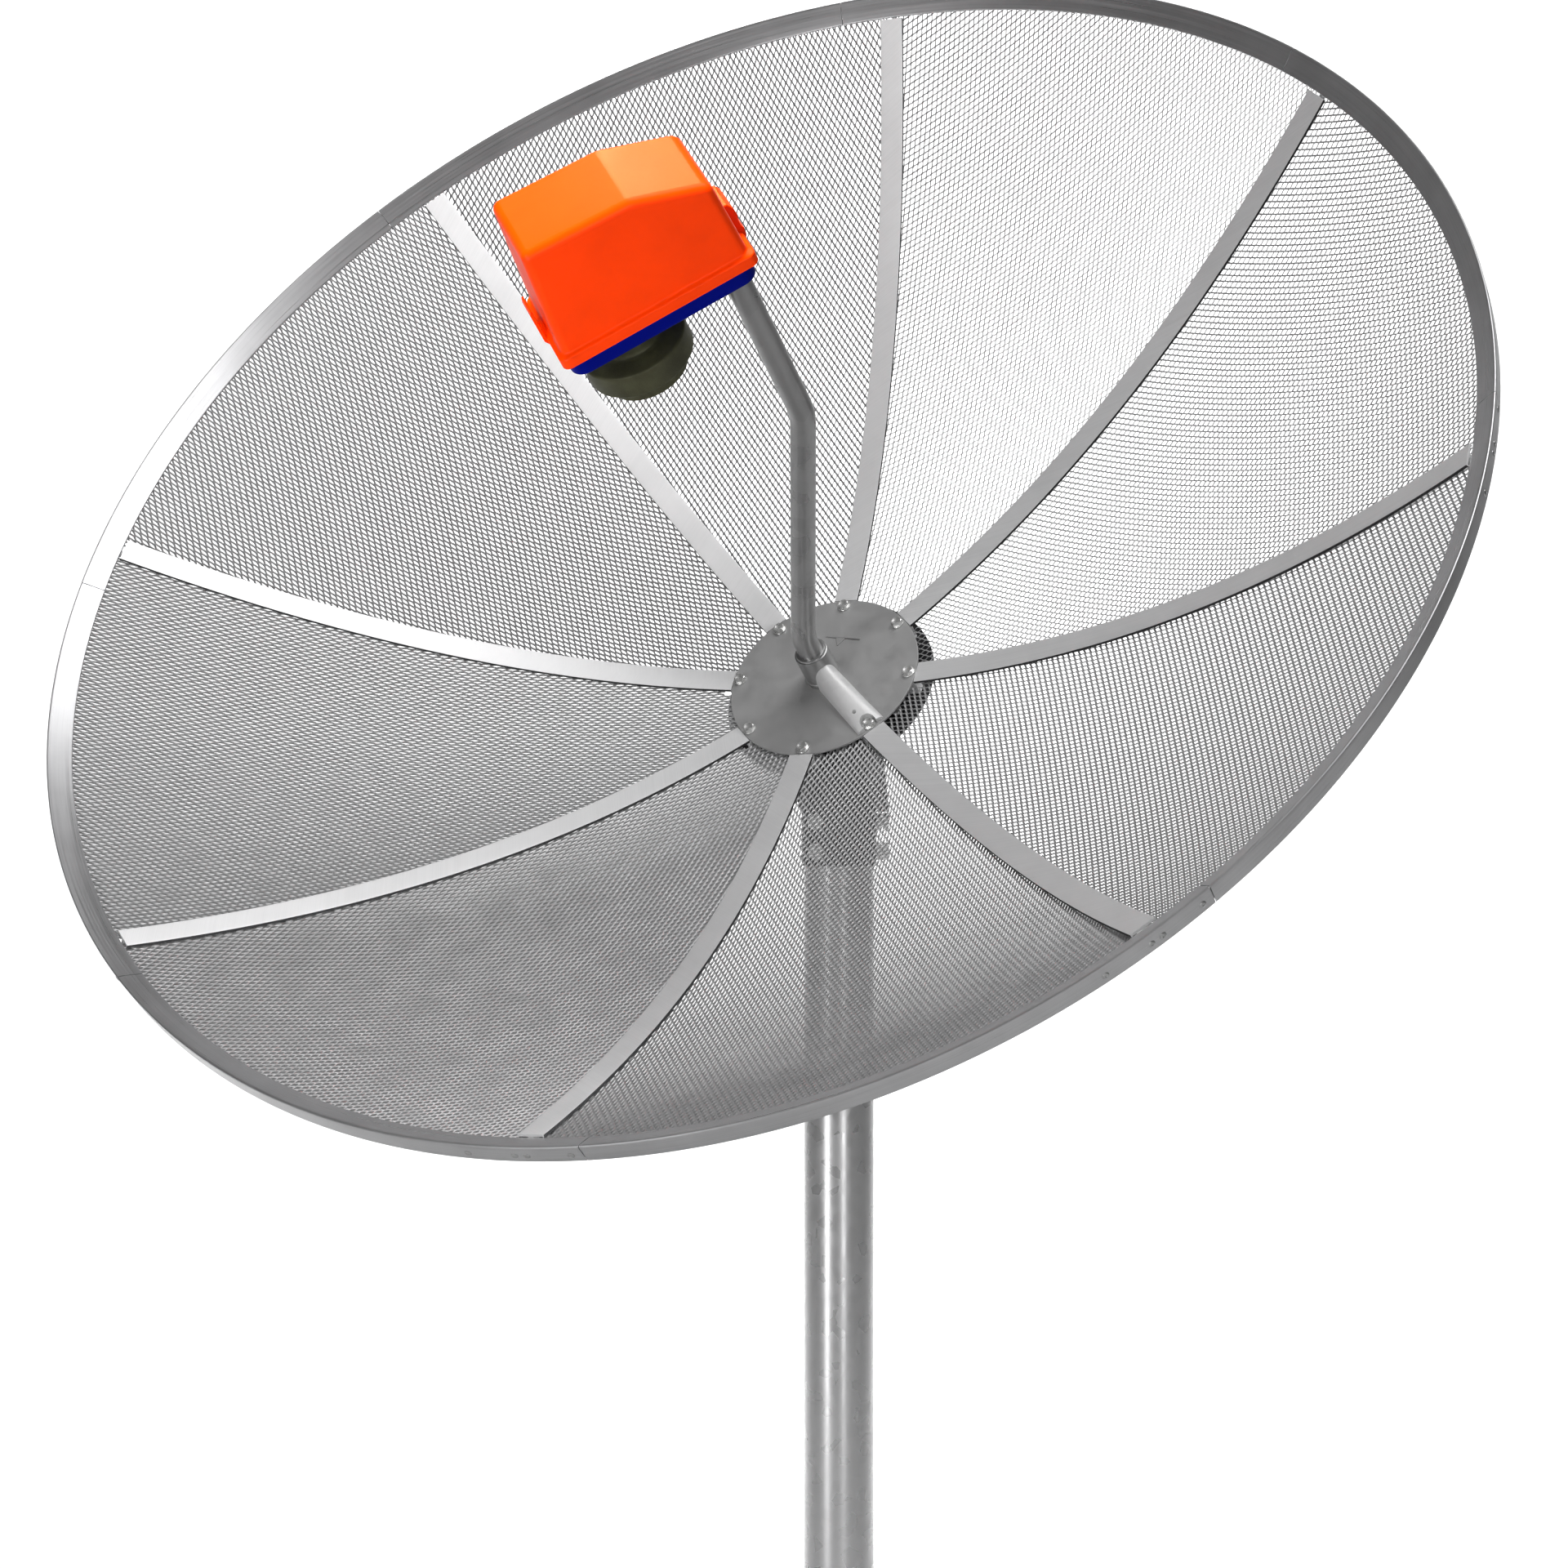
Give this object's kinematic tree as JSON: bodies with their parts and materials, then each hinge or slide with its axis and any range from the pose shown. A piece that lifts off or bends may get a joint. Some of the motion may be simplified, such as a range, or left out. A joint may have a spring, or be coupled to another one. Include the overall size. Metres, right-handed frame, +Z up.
{
  "type": "satellite dish",
  "caption": "Round mesh dish of ribs and panels on a tilting, turning mast head, with a bent arm holding a covered feed in front.",
  "frame": {"origin": "the mast's axis at the underside of the base flange", "axes": "+Z up along the mast, the dish faces -Y and is tipped up, +X to the right as seen from the front"},
  "size_m": [1.5022, 0.9312, 2.0812],
  "materials": {
    "blue_plastic": "gloss",
    "bolt_zinc": "satin",
    "cast_grey": "satin",
    "dark_plastic": "matte",
    "galvanised": "satin",
    "grey_paint": "satin",
    "lnb_paint": "satin",
    "mesh_aluminium": "satin",
    "nickel": "polished",
    "orange_plastic": "gloss",
    "rib_aluminium": "satin",
    "rim_aluminium": "satin",
    "rivet_aluminium": "satin",
    "white_plastic": "matte"
  },
  "bodies": {
    "mast": {"base_flange": "galvanised", "base_gussets": "galvanised", "mast_pole": "galvanised"},
    "mast_head": {"mast_sleeve": "galvanised", "sleeve_cap": "galvanised", "cheek_left": "galvanised", "cheek_right": "galvanised", "azimuth_nuts": "bolt_zinc", "azimuth_bolts": "bolt_zinc", "pivot_bolt": "bolt_zinc", "pivot_nut": "bolt_zinc", "lock_bolt": "bolt_zinc", "lock_nut": "bolt_zinc"},
    "reflector": {"arm_brace": "grey_paint", "arm_collar": "grey_paint", "back_bolts": "bolt_zinc", "bracket_bolts": "bolt_zinc", "feed_arm": "grey_paint", "feed_tray": "blue_plastic", "front_hub_plate": "grey_paint", "hub_bolts": "bolt_zinc", "hub_nuts": "bolt_zinc", "mesh_panel_0": "mesh_aluminium", "mesh_panel_1": "mesh_aluminium", "mesh_panel_2": "mesh_aluminium", "mesh_panel_3": "mesh_aluminium", "mesh_panel_4": "mesh_aluminium", "mesh_panel_5": "mesh_aluminium", "mesh_panel_6": "mesh_aluminium", "mesh_panel_7": "mesh_aluminium", "neck_clamp": "dark_plastic", "rear_hub_plate": "galvanised", "rib_0": "rib_aluminium", "rib_1": "rib_aluminium", "rib_2": "rib_aluminium", "rib_3": "rib_aluminium", "rib_4": "rib_aluminium", "rib_5": "rib_aluminium", "rib_6": "rib_aluminium", "rib_7": "rib_aluminium", "rim_rivets": "rivet_aluminium", "rim_segment_0": "rim_aluminium", "rim_segment_1": "rim_aluminium", "rim_segment_2": "rim_aluminium", "rim_segment_3": "rim_aluminium", "rim_segment_4": "rim_aluminium", "rim_segment_5": "rim_aluminium", "rim_segment_6": "rim_aluminium", "rim_segment_7": "rim_aluminium", "rim_splices": "rim_aluminium", "tilt_bracket": "galvanised", "tray_screws": "bolt_zinc"},
    "feed_lnbf": {"scalar_horn": "cast_grey", "horn_window": "white_plastic", "lnb_housing": "lnb_paint", "cable_sockets": "nickel"},
    "feed_cover": {"rain_cover": "orange_plastic", "cover_clip_left": "orange_plastic", "cover_clip_right": "orange_plastic"}
  },
  "joints": [
    {"name": "azimuth_turn", "type": "hinge", "parent": "mast", "child": "mast_head", "pos_m": [0, 0, 1.15], "axis": [0, 0, 1], "continuous": true},
    {"name": "elevation_tilt", "type": "hinge", "parent": "mast_head", "child": "reflector", "pos_m": [0, 0, 1.24], "axis": [-1, 0, 0], "range_deg": [-27.5, 47.4]},
    {"name": "polarisation_turn", "type": "hinge", "parent": "reflector", "child": "feed_lnbf", "pos_m": [-0.01301, -0.4631, 1.64247], "axis": [0, -0.7927, 0.6096], "range_deg": [-30, 30]},
    {"name": "cover_lift", "type": "slide", "parent": "reflector", "child": "feed_cover", "axis": [0, -0.7927, 0.6096], "range_m": [0, 0.16]}
  ]
}
